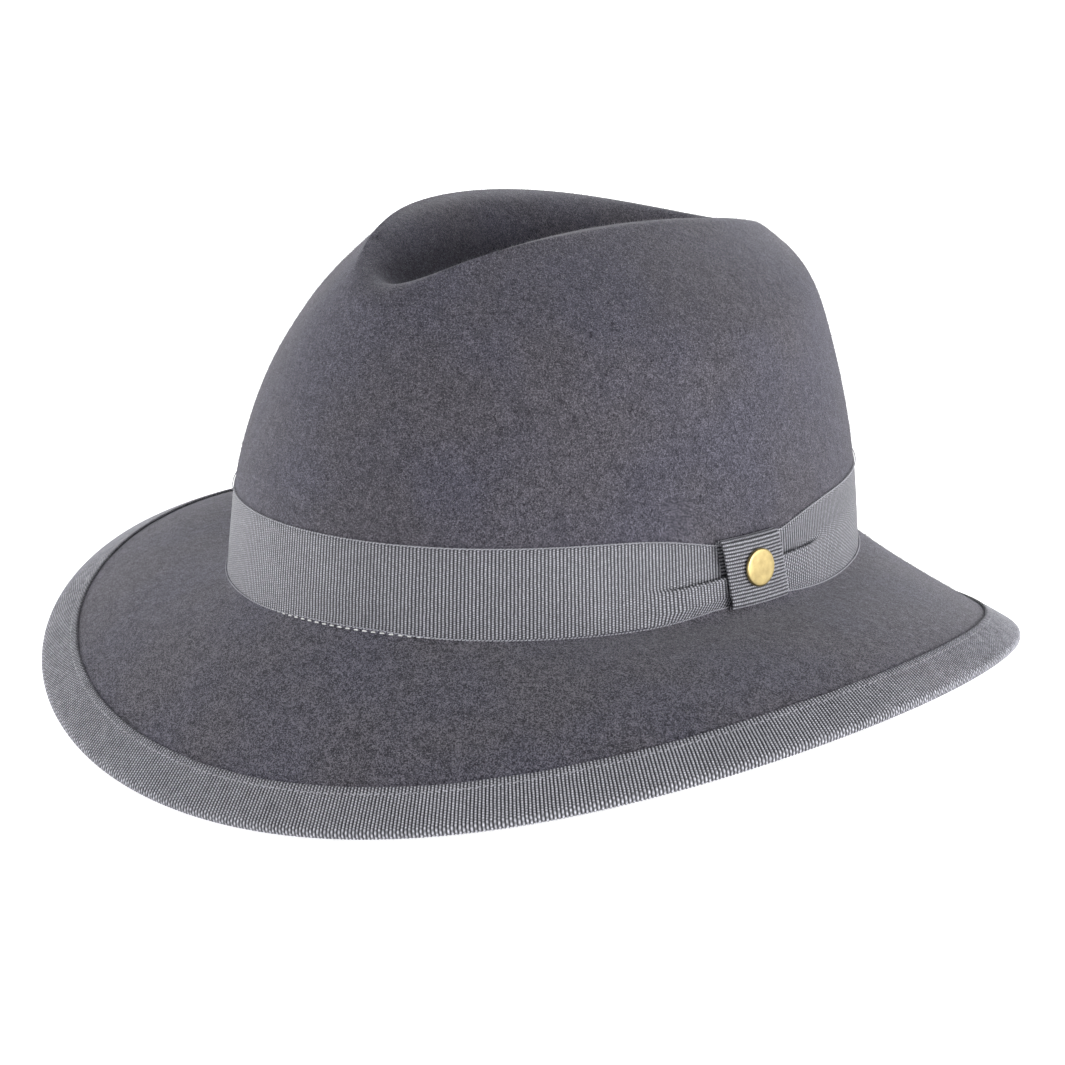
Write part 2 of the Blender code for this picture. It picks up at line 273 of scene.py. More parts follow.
def even_turns(outline, count, start=0.0, end=2 * math.pi):
    """Turns that cut this outline between two turns into equal lengths."""
    fine = np.linspace(start, end, 4000)
    points = outline(fine)
    length = np.concatenate([[0], np.cumsum(np.linalg.norm(np.diff(points, axis=0), axis=1))])
    return np.interp(np.linspace(0, length[-1], count), length, fine), length[-1]


# Mesh helpers.


def face_out(data):
    """Turns a closed mesh's faces outwards."""
    mesh = bmesh.new()
    mesh.from_mesh(data)
    bmesh.ops.recalc_face_normals(mesh, faces=mesh.faces)
    mesh.to_mesh(data)
    mesh.free()


def place(piece, node_names, finish):
    """Puts a finished piece on the hat, where it replaces those CAD nodes."""
    face_out(piece.data)
    piece.data.materials.append(finish)
    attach(piece, "root")
    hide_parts(*node_names)


def mesh_piece(name, points, faces, uvs=None):
    """A smooth mesh object from design-millimetre points. uvs holds one pair per corner."""
    data = bpy.data.meshes.new(name)
    data.from_pydata((points * MM).tolist(), [], faces)
    if uvs is not None:
        layer = data.uv_layers.new(name="cloth")
        layer.data.foreach_set("uv", np.asarray(uvs, np.float32).ravel())
    data.polygons.foreach_set("use_smooth", np.ones(len(data.polygons), bool))
    piece = bpy.data.objects.new(name, data)
    bpy.context.scene.collection.objects.link(piece)
    return piece


def spine_faces(row, flip):
    """Closes a ring of points with a strip from its one long side to the other."""
    count = len(row)
    faces = []
    for i in range(count // 2):
        corners = list(dict.fromkeys((row[i], row[i + 1], row[count - i - 1], row[-i])))
        faces.append(corners[::-1] if flip else corners)
    return faces


def grid_faces(rows, around=True, loop=False, spine=False, across=None, along=None):
    """Points, faces and cloth coordinates of a closed surface through rows of points. around
    joins each row's ends and loop joins the last row to the first. spine closes the first and
    last rows of a dome, and the ends of a strip that is only looped are closed with one face
    each. across and along give the cloth coordinates of the columns and rows, one longer than
    the grid where it is joined."""
    count_rows, count = rows.shape[:2]
    index = np.arange(count_rows * count).reshape(count_rows, count)
    grid = np.concatenate([index, index[:1]]) if loop else index
    grid = np.concatenate([grid, grid[:, :1]], axis=1) if around else grid
    quads = np.stack([grid[:-1, :-1], grid[1:, :-1], grid[1:, 1:], grid[:-1, 1:]], axis=-1)
    faces = quads.reshape(-1, 4).tolist()
    uvs = None
    if across is not None:
        u, v = np.meshgrid(across, along)
        corner = np.stack([u, v], axis=-1)
        corners = (corner[:-1, :-1], corner[1:, :-1], corner[1:, 1:], corner[:-1, 1:])
        uvs = np.stack(corners, axis=2).reshape(-1, 2).tolist()
    caps = []
    if spine:
        caps = spine_faces(index[0].tolist(), False) + spine_faces(index[-1].tolist(), True)
    elif loop and not around:
        caps = [index[:, 0].tolist(), index[::-1, -1].tolist()]
    if uvs is not None:
        uvs += [[0, 0]] * sum(len(face) for face in caps)
    return rows.reshape(-1, 3), faces + caps, uvs


def grid_piece(name, rows, around=True, loop=False, **how):
    return mesh_piece(name, *grid_faces(rows, around, loop, **how))


def merged(name, grids):
    """One piece made of several closed surfaces from grid_faces."""
    points, faces, uvs = [], [], []
    for own_points, own_faces, own_uvs in grids:
        first = sum(len(made) for made in points)
        faces += [[corner + first for corner in face] for face in own_faces]
        points.append(own_points)
        uvs += own_uvs
    return mesh_piece(name, np.concatenate(points), faces, uvs)


def stitches(name, centres, along, up, length, radius, rise=0.5, lean=0.0):
    """A row of separate stitches: each one is a short thread that dives at both ends."""
    sides, rings = 6, 7
    share = np.linspace(-1, 1, rings)
    width = radius * np.sqrt(np.maximum(1 - share**8, 0.06))
    spin = full_turn(sides)
    along /= np.linalg.norm(along, axis=1, keepdims=True)
    across = np.cross(up, along)
    across /= np.linalg.norm(across, axis=1, keepdims=True)
    t = share[:, None] * length / 2 + 0 * spin
    s = width[:, None] * np.cos(spin) + lean * t
    n = width[:, None] * np.sin(spin) + (1 - share[:, None] ** 2) * rise * radius
    local = np.stack([t, s, n], axis=-1).reshape(-1, 3)
    axes = np.stack([along, across, up], axis=1)
    points = centres[:, None, :] + np.einsum("pk,ckd->cpd", local, axes)
    index = np.arange(rings * sides).reshape(rings, sides)
    faces = []
    for low, high in zip(index, index[1:]):
        for i in range(sides):
            faces.append((low[i], low[i - 1], high[i - 1], high[i]))
    faces += [tuple(index[0]), tuple(index[-1][::-1])]
    every = []
    for k in range(len(centres)):
        every += [tuple(int(corner + k * rings * sides) for corner in face) for face in faces]
    return mesh_piece(name, points.reshape(-1, 3), every)


# Materials.


class Shader:
    """A material's node tree, with one call for each node."""

    def __init__(self, name, roughness, metallic=0.0, **constants):
        self.material = bpy.data.materials.new(name)
        self.material.use_nodes = True
        self.tree = self.material.node_tree
        self.principled = self.tree.nodes["Principled BSDF"]
        self.set(self.principled, Roughness=roughness, Metallic=metallic)
        for socket, value in constants.items():
            self.principled.inputs[socket.replace("_", " ")].default_value = value

    def set(self, node, **values):
        for socket, value in values.items():
            self.feed(node.inputs[socket.replace("_", " ")], value)

    def feed(self, socket, value):
        if isinstance(value, bpy.types.NodeSocket):
            self.tree.links.new(value, socket)
        else:
            socket.default_value = value

    def node(self, kind, **values):
        made = self.tree.nodes.new("ShaderNode" + kind)
        self.set(made, **values)
        return made

    def math(self, operation, first, second=0.0, third=0.0):
        made = self.tree.nodes.new("ShaderNodeMath")
        made.operation = operation
        for socket, value in zip(made.inputs, (first, second, third)):
            self.feed(socket, value)
        return made.outputs[0]

    def place(self):
        return self.node("TexCoord").outputs["Object"]

    def noise(self, size, detail=2.0, where=None, distortion=0.0):
        """Noise whose blobs are about this many design millimetres across."""
        where = where or self.place()
        made = self.node(
            "TexNoise", Vector=where, Scale=1 / (size * MM), Detail=detail, Distortion=distortion
        )
        return made.outputs["Fac"]

    def ramp(self, value, *stops):
        made = self.tree.nodes.new("ShaderNodeValToRGB")
        self.feed(made.inputs["Fac"], value)
        elements = made.color_ramp.elements
        while len(elements) < len(stops):
            elements.new(0.5)
        for element, (position, colour) in zip(elements, stops):
            element.position = position
            element.color = (*colour, 1)
        return made.outputs["Color"]

    def spread(self, value, low, high, to_low, to_high):
        made = self.node("MapRange", Value=value)
        for socket, number in zip(
            ("From Min", "From Max", "To Min", "To Max"), (low, high, to_low, to_high)
        ):
            made.inputs[socket].default_value = number
        return made.outputs["Result"]

    def tint(self, colour, factor):
        """The colour times a number."""
        made = self.tree.nodes.new("ShaderNodeVectorMath")
        made.operation = "SCALE"
        self.feed(made.inputs[0], colour)
        self.feed(made.inputs["Scale"], factor)
        return made.outputs[0]

    def multiply(self, first, second):
        made = self.tree.nodes.new("ShaderNodeVectorMath")
        made.operation = "MULTIPLY"
        self.feed(made.inputs[0], first)
        self.feed(made.inputs[1], second)
        return made.outputs[0]

    def relief(self, height, depth, strength=1.0):
        made = self.node("Bump", Height=height, Strength=strength, Distance=depth * MM)
        self.set(self.principled, Normal=made.outputs["Normal"])

    def colour(self, value):
        self.set(self.principled, Base_Color=value)


def felt_material():
    """Brushed wool felt: short fibres in every direction, clumps of them, and faint patches
    of a warmer and a cooler grey. The grain's contrast is raised on the brim, below the band, only
    to match the photograph, which sees the brim at a low angle."""
    felt = Shader(
        "wool_felt",
        0.95,
        Sheen_Weight=0.3,
        Sheen_Roughness=0.5,
        Sheen_Tint=(0.88, 0.88, 0.95, 1),
        Specular_IOR_Level=0.1,
    )
    fibre = felt.noise(0.75, detail=3, distortion=1.5)
    fleck = felt.noise(0.38, detail=1)
    clump = felt.noise(3.2, detail=3)
    grain = felt.math("MULTIPLY_ADD", fleck, 0.40, felt.math("MULTIPLY", fibre, 0.48))
    grain = felt.math("MULTIPLY_ADD", clump, 0.12, grain)
    height = felt.node("SeparateXYZ", Vector=felt.place()).outputs["Z"]
    contrast = felt.spread(height, 0.0, 20 * MM, 1.75, 1.05)
    grain = felt.math("MULTIPLY_ADD", felt.math("SUBTRACT", grain, 0.5), contrast, 0.5)
    shade = felt.ramp(
        grain,
        (0.36, (0.0195, 0.019, 0.0235)),
        (0.50, (0.067, 0.065, 0.0765)),
        (0.64, (0.168, 0.163, 0.187)),
    )
    patch = felt.noise(34, detail=2)
    warmth = felt.ramp(patch, (0.38, (0.97, 0.965, 1.07)), (0.62, (1.02, 0.99, 1.005)))
    felt.colour(felt.multiply(shade, warmth))
    felt.relief(felt.math("MULTIPLY_ADD", fibre, 0.6, felt.math("MULTIPLY", clump, 0.8)), 0.4, 0.9)
    return felt.material


def ribbon_material(name, tone_with_painted_light):
    """Grosgrain: cords side by side (cloth U counts them), bound by fine threads across them
    (cloth V counts those). The threads of neighbouring cords are offset like bricks."""
    cloth = Shader(
        name, 0.6, Sheen_Weight=0.2, Sheen_Roughness=0.35, Sheen_Tint=(0.88, 0.9, 0.96, 1)
    )
    where = cloth.node("UVMap")
    where.uv_map = "cloth"
    split = cloth.node("SeparateXYZ", Vector=where.outputs["UV"])
    wander = cloth.noise(2.4, detail=2)
    cords = cloth.math("ADD", split.outputs["X"], cloth.spread(wander, 0.2, 0.8, -0.08, 0.08))
    length = cloth.math("ADD", split.outputs["Y"], cloth.spread(wander, 0.2, 0.8, 0.2, -0.2))
    crest = cloth.math("MULTIPLY", cloth.math("PINGPONG", cords, 0.5), 2)
    offset = cloth.math("MULTIPLY", cloth.math("FLOOR", cords), 0.5)
    threads = cloth.math("MULTIPLY", cloth.math("ADD", length, offset), 2 * math.pi)
    bead = cloth.math("SINE", threads)
    bead = cloth.math("MULTIPLY_ADD", bead, 0.5, 0.5)
    # Painted shade and highlight over the ribbon's own grey: the colour falls to near black in the
    # valleys between the cords, where shade falls, and rises on the crests as a painted highlight.
    shade = cloth.ramp(
        crest,
        (0.0, (0.012, 0.012, 0.016)),
        (0.30, (0.055, 0.055, 0.066)),
        (0.60, (0.320, 0.320, 0.362)),
        (1.0, (0.525, 0.525, 0.580)),
    )
    fleck = cloth.noise(0.6, detail=3)
    soiled = cloth.noise(16, detail=2)
    # The tone scales this copy's colour: below 1 it is painted shade, above 1 it is painted light.
    vary = cloth.math("MULTIPLY_ADD", bead, 0.76 * tone_with_painted_light, 0.44 * tone_with_painted_light)
    vary = cloth.math("MULTIPLY", vary, cloth.spread(fleck, 0.3, 0.7, 0.68, 1.28))
    vary = cloth.math("MULTIPLY", vary, cloth.spread(soiled, 0.3, 0.7, 0.93, 1.07))
    cloth.colour(cloth.tint(shade, vary))
    cloth.relief(cloth.math("MULTIPLY", bead, cloth.math("ADD", crest, 0.3)), 0.14, 0.9)
    return cloth.material


def thread_material(name, colour):
    thread = Shader(name, 0.6, Sheen_Weight=0.3)
    ply = thread.noise(0.35, detail=2)
    thread.colour(thread.tint(colour, thread.spread(ply, 0.3, 0.7, 0.7, 1.2)))
    thread.relief(ply, 0.1, 0.7)
    return thread.material


def brass_material():
    """Satin gilt metal, finely brushed one way, with small scratches."""
    brass = Shader("satin_brass", 0.3, 1.0)
    stretched = brass.node("Mapping", Vector=brass.place(), Scale=(1, 14, 1))
    brushed = brass.noise(0.5, detail=3, where=stretched.outputs["Vector"])
    cloud = brass.noise(2.5)
    brass.colour(brass.tint((0.46, 0.36, 0.165), brass.spread(cloud, 0.3, 0.7, 0.80, 1.12)))
    brass.set(brass.principled, Roughness=brass.spread(brushed, 0.3, 0.7, 0.26, 0.42))
    brass.relief(brushed, 0.02, 0.5)
    return brass.material


def leather_material():
    leather = Shader("leather", 0.5, Specular_IOR_Level=0.4)
    pores = leather.node("TexVoronoi", Vector=leather.place(), Scale=1 / (0.8 * MM))
    worn = leather.noise(12, detail=3)
    leather.colour(leather.ramp(worn, (0.35, (0.020, 0.018, 0.018)), (0.7, (0.050, 0.044, 0.042))))
    grain = leather.math("MULTIPLY_ADD", leather.noise(0.3), 0.3, pores.outputs["Distance"])
    leather.set(leather.principled, Roughness=leather.spread(worn, 0.3, 0.7, 0.42, 0.6))
    leather.relief(grain, 0.15, 0.6)
    return leather.material


def satin_material():
    satin = Shader("lining_satin", 0.35, Sheen_Weight=0.4, Sheen_Roughness=0.3)
    stretched = satin.node("Mapping", Vector=satin.place(), Scale=(1, 1, 9))
    weft = satin.noise(1.2, detail=3, where=stretched.outputs["Vector"])
    satin.colour(satin.ramp(weft, (0.3, (0.060, 0.060, 0.075)), (0.7, (0.120, 0.120, 0.145))))
    satin.set(satin.principled, Roughness=satin.spread(weft, 0.3, 0.7, 0.30, 0.45))
    satin.relief(weft, 0.08, 0.5)
    return satin.material


def woven_material(name, dark, light, pitch):
    """A plain weave: two crossed sets of threads."""
    cloth = Shader(name, 0.8, Sheen_Weight=0.2)
    where = cloth.node("SeparateXYZ", Vector=cloth.place())
    turn = 2 * math.pi / (pitch * MM)
    over = cloth.math("SINE", cloth.math("MULTIPLY", where.outputs["X"], turn))
    under = cloth.math("SINE", cloth.math("MULTIPLY", where.outputs["Z"], turn))
    weave = cloth.math("MULTIPLY_ADD", cloth.math("MULTIPLY", over, under), 0.5, 0.5)
    cloth.colour(cloth.ramp(weave, (0.0, dark), (1.0, light)))
    cloth.relief(weave, 0.08, 0.7)
    return cloth.material


# Pieces.


def held(turn):
    """How much the keeper draws the band in here: 1 under it, 0 away from it."""
    return np.minimum(1, 1.35 * bump(turn, KEEPER_MIDDLE, math.radians(14)))


def corner_fill(turn, distance):
    """The felt's round corner between brim and crown, highest under the keeper."""
    return (0.35 + 2.3 * held(turn)) * np.exp(-distance / (1.0 + 1.6 * held(turn)))


def felt_hood(finish):
    turn = full_turn(400)
    steps = np.linspace(8, 0.1, 94)
    shares = np.concatenate([[0.004, 0.012, 0.022, 0.034, 0.05, 0.07], np.linspace(0.095, 1, 38)])
    brim_part = brim_rows(turn, shares)
    brim_part[..., 2] += corner_fill(turn[None, :], shares[:, None] * BRIM_WIDTH)
    outside = np.concatenate([crown(turn, steps), brim_part])
    inside = lifted(outside, np.full((len(outside), 1), -FELT))[::-3]
    rows = np.concatenate([outside, inside])
    place(grid_piece("felt_hood_nap", rows, spine=True), ["felt_hood"], finish)


def scattered(rows, count, rng):
    """Random places on a grid that is closed round the hat, with the normals there."""
    normals = normals_of(rows)
    side = np.roll(rows, -1, axis=1) - rows
    area = np.linalg.norm(np.cross(side[:-1], rows[1:] - rows[:-1]), axis=2)
    chosen = rng.choice(area.size, count, p=(area / area.sum()).ravel())
    row, column = np.unravel_index(chosen, area.shape)
    u, v = rng.random((2, count, 1))
    corner = rows[row, column]
    points = corner + u * side[row, column] + v * (rows[row + 1, column] - corner)
    return points, normals[row, column]


def felt_fuzz(finish):
    """Loose fibres that stand off the felt, each one a closed sliver with three sides."""
    rng = np.random.default_rng(FIBRE_SEED)
    turn = full_turn(300)
    crown_part = scattered(crown(turn, np.linspace(7.7, 0.95, 90)), FIBRES * 2 // 3, rng)
    brim_part = scattered(brim_rows(turn, np.linspace(0.04, 0.78, 40)), FIBRES // 3, rng)
    points, normals = (np.concatenate(pair) for pair in zip(crown_part, brim_part))
    count = len(points)
    level = rng.normal(size=(count, 3))
    level -= (level * normals).sum(axis=1, keepdims=True) * normals
    level /= np.linalg.norm(level, axis=1, keepdims=True)
    across = np.cross(normals, level)
    rise = rng.uniform(0.2, 0.85, (count, 1))
    reach = rng.uniform(0.5, 1.5, (count, 1))
    tips = points + reach * (rise * normals + (1 - rise) * level)
    feet = points - 0.06 * normals
    corners = []
    for angle in full_turn(3):
        corners.append(feet + FIBRE_RADIUS * (math.cos(angle) * level + math.sin(angle) * across))
    points = np.stack(corners + [tips], axis=1).reshape(-1, 3)
    first = 4 * np.arange(count)[:, None, None]
    faces = first + np.array([(0, 1, 3), (1, 2, 3), (2, 0, 3), (2, 1, 0)])
    piece = mesh_piece("felt_hood_fuzz", points, faces.reshape(-1, 3).tolist())
    layer = piece.data.uv_layers.new(name="OFBake")
    shared = np.tile(np.float32([0.49, 0.49, 0.51, 0.49, 0.50, 0.51]), 4 * count)
    layer.data.foreach_set("uv", shared)
    place(piece, ["felt_hood"], finish)


def edge_profile(distance, size=0.35):
    """How full a ribbon is near its selvedge, from 0.4 at the edge to 1 inside it."""
    near = np.clip(distance / size, 0, 1)
    return 0.4 + 0.6 * np.sqrt(1 - (1 - near) ** 2)


def ribbon_rows(length, step):
    """Distances across a ribbon, close together at its two selvedges."""
    edge = np.array([0, 0.1, 0.3, 0.7])
    middle = np.linspace(1.4, length - 1.4, max(int(length / step), 3))
    return np.concatenate([edge, middle, length - edge[::-1]])


def thinned(count, step):
    """Every step-th row back from the last, and the first."""
    return np.append(np.arange(count - 1, 0, -step), 0)


def ribbon_piece(name, base, ribs, fullness, across, around):
    """A closed ribbon: base is its back, and its front is cords. across is each row's distance
    from one selvedge."""
    front = lifted(base, (RIBBON + RIB_DEPTH * ribs) * fullness, around)
    back = thinned(len(base), 4)
    rows = np.concatenate([front, base[back]])
    threads = np.concatenate([across, across[back], across[:1]]) / BEAD
    count = rows.shape[1] + (1 if around else 0)
    return grid_piece(name, rows, around, loop=True, across=np.arange(count) / 4, along=threads)


def brim_binding(finish):
    """The folded ribbon with its cords square to the brim's edge."""
    outline = lambda turn: brim(turn, 0.97 + 0 * turn)
    length = even_turns(outline, 2)[1]
    cords = int(round(length / RIB_PITCH))
    turn = even_turns(outline, 4 * cords + 1)[0][:-1]
    ribs = np.tile(RIB_PROFILE, cords)
    first = 1 - BINDING_WIDTH / BRIM_WIDTH
    across = ribbon_rows(BINDING_WIDTH * 2, 2.2)
    leg = across[across < BINDING_WIDTH - 0.5]
    shares = first + (1 - first) * leg / leg[-1]
    felt = brim_rows(turn, shares)
    sewn = -0.10 * np.exp(-(((leg - STITCH_INSET) / 0.5) ** 2))
    top = lifted(felt, (RIBBON_GAP - 0.1 + sewn)[:, None])
    under = lifted(felt, (-FELT - RIBBON_GAP - sewn)[:, None])[::-1]
    ripple = 0.10 * np.sin(23 * turn + 2 * np.sin(9 * turn))
    toward_crown = outward(turn) * (0.14 * (ribs - 0.5) + ripple)[:, None]
    for offset, fade in zip(range(3), (1, 1, 0.5)):
        top[offset] -= fade * toward_crown
        under[-1 - offset] -= fade * toward_crown
    middle = (top[-1] + under[0]) / 2
    up = top[-1] - middle
    out = felt[-1] - felt[-2]
    out *= np.linalg.norm(up, axis=1, keepdims=True) / np.linalg.norm(out, axis=1, keepdims=True)
    fold = []
    for angle in np.radians((30, 60, 90, 120, 150)):
        fold.append(middle + up * math.cos(angle) + 1.15 * out * math.sin(angle))
    base = np.concatenate([top, fold, under])
    fold_across = np.linspace(leg[-1], 2 * BINDING_WIDTH - leg[-1], 7)[1:-1]
    across = np.concatenate([leg, fold_across, 2 * BINDING_WIDTH - leg[::-1]])
    fullness = edge_profile(np.minimum(across, 2 * BINDING_WIDTH - across))[:, None]
    piece = ribbon_piece("brim_binding_ribbon", base, ribs, fullness, across, True)
    place(piece, ["brim_binding"], finish)


def binding_stitches(finish):
    """Two rows of separate stitches through the binding, one on each face of the brim."""
    outline = lambda turn: brim(turn, 0.85 + 0 * turn)
    turn = even_turns(outline, 401)[0]
    inset = 1 - (BINDING_WIDTH - STITCH_INSET) / BRIM_WIDTH
    near = brim_rows(turn, np.array([inset - 0.002, inset, inset + 0.002]))
    clear = RIBBON_GAP + RIBBON + RIB_DEPTH - 0.15
    for side, name in ((1, "top"), (-1, "under")):
        lift = clear - 0.2 if side > 0 else -(FELT + clear)
        line = lifted(near, np.full((3, 1), lift), around=False)[1]
        up = side * normals_of(near, around=False)[1][1:]
        centres = (line[1:] + line[:-1]) / 2
        along = line[1:] - line[:-1]
        piece = stitches("binding_stitches_" + name, centres, along, up, 1.45, 0.2, 0.5, 0.22)
        place(piece, ["binding_stitching_" + name], finish)


def seam_shows(turn):
    """1 at the left front, where the band rides up and the seam under it shows, else 0."""
    return np.minimum(1, 1.5 * bump(turn, math.radians(8), math.radians(13)))


def band_edges(turn):
    """The band's lower and upper edges."""
    bottom = 0.1 + 1.05 * seam_shows(turn) + 2.5 * held(turn)
    top = BAND_TOP - 4.6 * held(turn)
    return bottom, top


def soft_ramp(x, width=0.28):
    """0 below zero and x above it, with a rounded corner."""
    return (x + np.sqrt(x**2 + width**2)) / 2


def pleated_rows(turn):
    """The hatband's back. The ribbon is wider than the keeper lets it stand, so beside the
    keeper it folds over itself: up to the fold's edge, back down behind it, and up again."""
    bottom, top = band_edges(turn)
    tuck = np.maximum((BAND_WIDTH - (top - bottom)) / 2 - 0.35, 0)
    wrapped = np.where(turn > math.pi + KEEPER_MIDDLE, turn - 2 * math.pi, turn)
    beside = np.clip((wrapped - KEEPER_START) / (KEEPER_END - KEEPER_START), 0, 1)
    slope = 6.0 * np.clip(wrapped - KEEPER_START, -0.5, 0)
    fold_height = FOLD_HEIGHT_BEFORE + slope + (FOLD_HEIGHT_AFTER - FOLD_HEIGHT_BEFORE) * beside
    first = fold_height - bottom
    second = first + tuck
    width = top - bottom + 2 * tuck
    margin = 1.2
    edge = np.array([0, 0.1, 0.3, 0.7])[:, None]
    share = np.linspace(0, 1, 5)[:, None]
    across = np.concatenate([
        edge + 0 * turn,
        1.4 + share * (first - margin - 1.8),
        first - margin + np.linspace(0, 1, 16)[:, None] * (tuck + 2 * margin),
        second + margin + 0.4 + share * (width - second - margin - 1.8),
        width - edge[::-1],
    ])
    height = bottom + across - 2 * soft_ramp(across - first) + 2 * soft_ramp(across - second)
    firm = np.minimum(1, tuck / 1.2)
    rise = np.sin(np.clip(across / first, 0, 1) * math.pi / 2) ** 0.8
    falls = 1 - np.clip((across - first) / (tuck + 0.5), 0, 1)
    flap = 1.75 * firm * rise * falls
    upper = np.clip((across - second) / (width - second), 0, 1)
    flap += 0.55 * firm * np.sin(math.pi * upper) * (1 - held(turn) ** 6)
    hidden = np.clip((across - first) / 0.6, 0, 1) * np.clip((second + tuck - across) / 0.6, 0, 1)
    fullness = edge_profile(np.minimum(across, width - across)) * (1 - 0.6 * hidden * firm)
    side = np.where(wrapped < KEEPER_MIDDLE, 1, -1)
    drawn = side * 0.020 * firm * np.sin(math.pi * np.clip(across / first, 0, 1))
    return across, height, RIBBON_GAP + flap, fullness, turn + drawn


def hatband(finish):
    """One ribbon round the crown. Its ends meet under the keeper."""
    outline = lambda turn: wall(turn, 12 + 0 * turn, 0)
    start, end = KEEPER_MIDDLE + 0.004, KEEPER_MIDDLE + 2 * math.pi - 0.004
    cords = int(round(even_turns(outline, 2, start, end)[1] / RIB_PITCH))
    turn = even_turns(outline, 4 * cords + 1, start, end)[0]
    ribs = np.append(np.tile(RIB_PROFILE, cords), 0)
    across, height, proud, fullness, turns = pleated_rows(turn)
    scallop = 0.28 * (ribs - 0.5)
    height[:2] -= scallop
    height[-2:] += scallop
    base = wall(turns, height, proud)
    piece = ribbon_piece("hatband_ribbon", base, ribs, fullness, across[:, len(turn) // 2], False)
    place(piece, ["hatband"], finish)


def band_selvedges(finish):
    """The thread loops along the band's two edges, one at the end of each cord."""
    outline = lambda turn: wall(turn, 12 + 0 * turn, 0)
    start, end = KEEPER_MIDDLE + 0.01, KEEPER_MIDDLE + 2 * math.pi - 0.01
    cords = int(round(even_turns(outline, 2, start, end)[1] / RIB_PITCH))
    turn = even_turns(outline, cords + 1, start, end)[0]
    bottom, top = band_edges(turn)
    centres, along = [], []
    for height in (bottom, top):
        line = wall(turn, height, RIBBON_GAP + RIBBON)
        centres.append((line[1:] + line[:-1]) / 2)
        along.append(line[1:] - line[:-1])
    up = np.tile(outward((turn[1:] + turn[:-1]) / 2), (2, 1))
    centres, along = np.concatenate(centres), np.concatenate(along)
    piece = stitches("hatband_selvedges", centres, along, up, 0.9, 0.17, 0.3, 0.25)
    place(piece, ["hatband"], finish)


def keeper_point(turn, height, proud):
    lean = (height - BADGE_HEIGHT) * KEEPER_LEAN / HEAD_HALF_LENGTH
    return wall(turn + lean, height, proud)


def smooth_ring(values, width):
    padded = np.concatenate([values[-width:], values, values[:width]])
    return np.convolve(padded, np.ones(width) / width, "same")[width:-width]


def hatband_keeper(finish):
    """The short ribbon wrapped round the band: a flat loop whose cords run along the band."""
    cords = 2 * KEEPER_RIBS + 4
    ribs = np.tile(RIB_PROFILE, cords)[:, None]
    tall, deep = KEEPER_TOP - KEEPER_BOTTOM, KEEPER_PROUD - RIBBON_GAP
    walked = np.arange(4 * cords) / (4 * cords) * 2 * (tall + deep)
    down, up = np.clip(walked, 0, tall), np.clip(walked - tall - deep, 0, tall)
    inward, back_out = np.clip(walked - tall, 0, deep), np.clip(walked - 2 * tall - deep, 0, deep)
    height = smooth_ring(KEEPER_TOP - down + up, 9)[:, None]
    proud = smooth_ring(KEEPER_PROUD - inward + back_out, 9)[:, None]
    width = (KEEPER_END - KEEPER_START) * 100
    across = ribbon_rows(width, 1.6)
    turn = KEEPER_START + across / width * (KEEPER_END - KEEPER_START)
    crowned = 0.25 * np.sin(math.pi * across / width) * (proud > KEEPER_PROUD - 0.6)
    base = keeper_point(turn[None, :], height, proud + crowned)
    fullness = edge_profile(np.minimum(across, width - across))
    looped = np.concatenate([base[-1:], base, base[:1]])
    normal = normals_of(looped, around=False)[1:-1]
    jag = 0.22 * (ribs - 0.5) * (np.exp(-across) - np.exp(across - width))
    side = np.gradient(base, axis=1)
    side /= np.linalg.norm(side, axis=2, keepdims=True)
    thick = fullness * (RIBBON + RIB_DEPTH * ribs)
    front = base + normal * thick[..., None] - jag[..., None] * side
    rows = np.concatenate([front, base[:, ::-1]], axis=1).transpose(1, 0, 2)
    threads = np.concatenate([across, across[::-1], across[:1]]) / BEAD
    cord_counts = np.arange(4 * cords + 1) / 4
    piece = grid_piece("hatband_keeper_ribbon", rows, loop=True, across=cord_counts, along=threads)
    place(piece, ["hatband_keeper"], finish)


def badge_frame():
    """The badge's foot on the felt, its axis, and two directions across it."""
    turn = np.array([BADGE_TURN])
    origin = wall(turn, BADGE_HEIGHT, 0.0)[0]
    above = wall(turn, BADGE_HEIGHT + 5, 0.0)[0] - wall(turn, BADGE_HEIGHT - 5, 0.0)[0]
    ahead = wall(turn + 0.05, BADGE_HEIGHT, 0.0)[0] - wall(turn - 0.05, BADGE_HEIGHT, 0.0)[0]
    axis = np.cross(ahead, above)
    axis /= np.linalg.norm(axis)
    side = ahead / np.linalg.norm(ahead)
    return origin, axis, side, np.cross(axis, side)


def turned_piece(name, profile, cap):
    """A piece turned round the badge's axis. profile holds (distance from the axis, height
    over the felt). It is capped on the axis, or is a ring when cap is False."""
    origin, axis, side, up = badge_frame()
    spin = full_turn(96)
    around = side[None, :] * np.cos(spin)[:, None] + up[None, :] * np.sin(spin)[:, None]
    rows = origin + profile[:, 1, None, None] * axis + profile[:, 0, None, None] * around
    return grid_piece(name, rows, loop=not cap, spine=cap)


def badge_disc(finish):
    """A plain, slightly domed disc with a soft edge, and its stud behind."""
    back = KEEPER_PROUD + 0.25 + RIBBON + RIB_DEPTH + 0.1
    r = BADGE_RADIUS
    profile = np.array([
        (0.01, 1.10),
        (0.40 * r, 1.09),
        (0.75 * r, 1.06),
        (r - 0.60, 1.03),
        (r - 0.35, 0.98),
        (r - 0.18, 0.90),
        (r - 0.05, 0.76),
        (r, 0.60),
        (r, 0.25),
        (r - 0.12, 0.07),
        (r - 0.35, 0.0),
        (1.2, 0.0),
        (1.0, -0.1),
        (1.0, -0.9),
        (0.01, -0.95),
    ])
    piece = turned_piece("badge_disc_gilt", profile + np.array([0, back]), True)
    place(piece, ["badge_disc"], finish)


